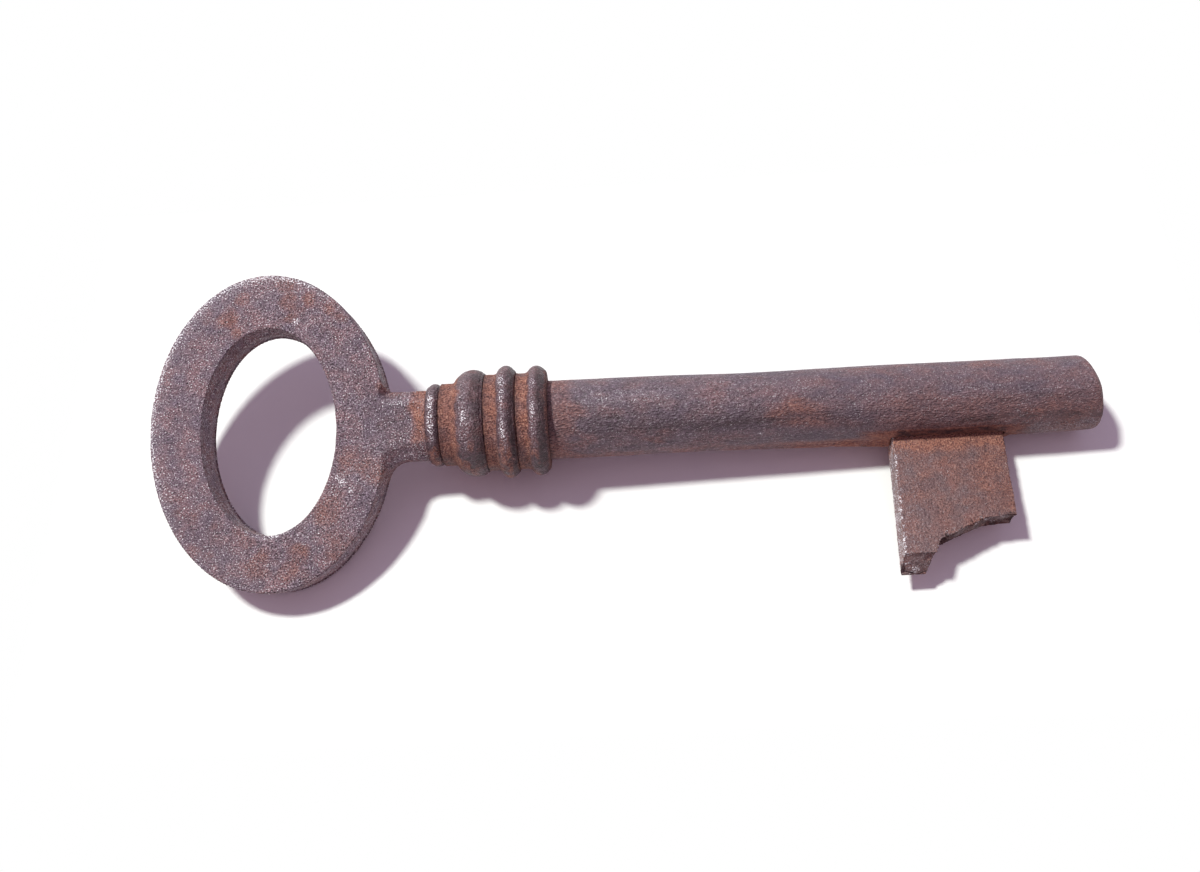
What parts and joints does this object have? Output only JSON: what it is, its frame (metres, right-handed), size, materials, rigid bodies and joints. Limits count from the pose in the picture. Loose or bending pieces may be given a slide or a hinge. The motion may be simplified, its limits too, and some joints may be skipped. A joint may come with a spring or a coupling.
{
  "type": "key",
  "caption": "Old iron key for a lever lock, with an oval bow, a ringed collar, a round solid shank and a bit whose lower edge is broken off.",
  "frame": {"origin": "on the shank's axis at the collar's front face, where the key stops against a lock", "axes": "+X along the shank to its tip, +Z square to the bow's face, the bit points to -Y"},
  "size_m": [0.0834, 0.0295, 0.0102],
  "materials": {
    "bow_iron": "grainy brown iron with fine bright specks and thin rust",
    "collar_iron": "dark brown iron, worn bright on the rings, orange rust in the grooves",
    "shank_iron": "brown iron with lengthwise streaks and rust in the corners",
    "bit_iron": "rusty brown iron, dark and grainy on the break"
  },
  "bodies": {
    "root": {"bow": "bow_iron", "neck_ring": "collar_iron", "bead": "collar_iron", "middle_ring": "collar_iron", "front_ring": "collar_iron", "shank": "shank_iron", "bit": "bit_iron"}
  },
  "joints": []
}
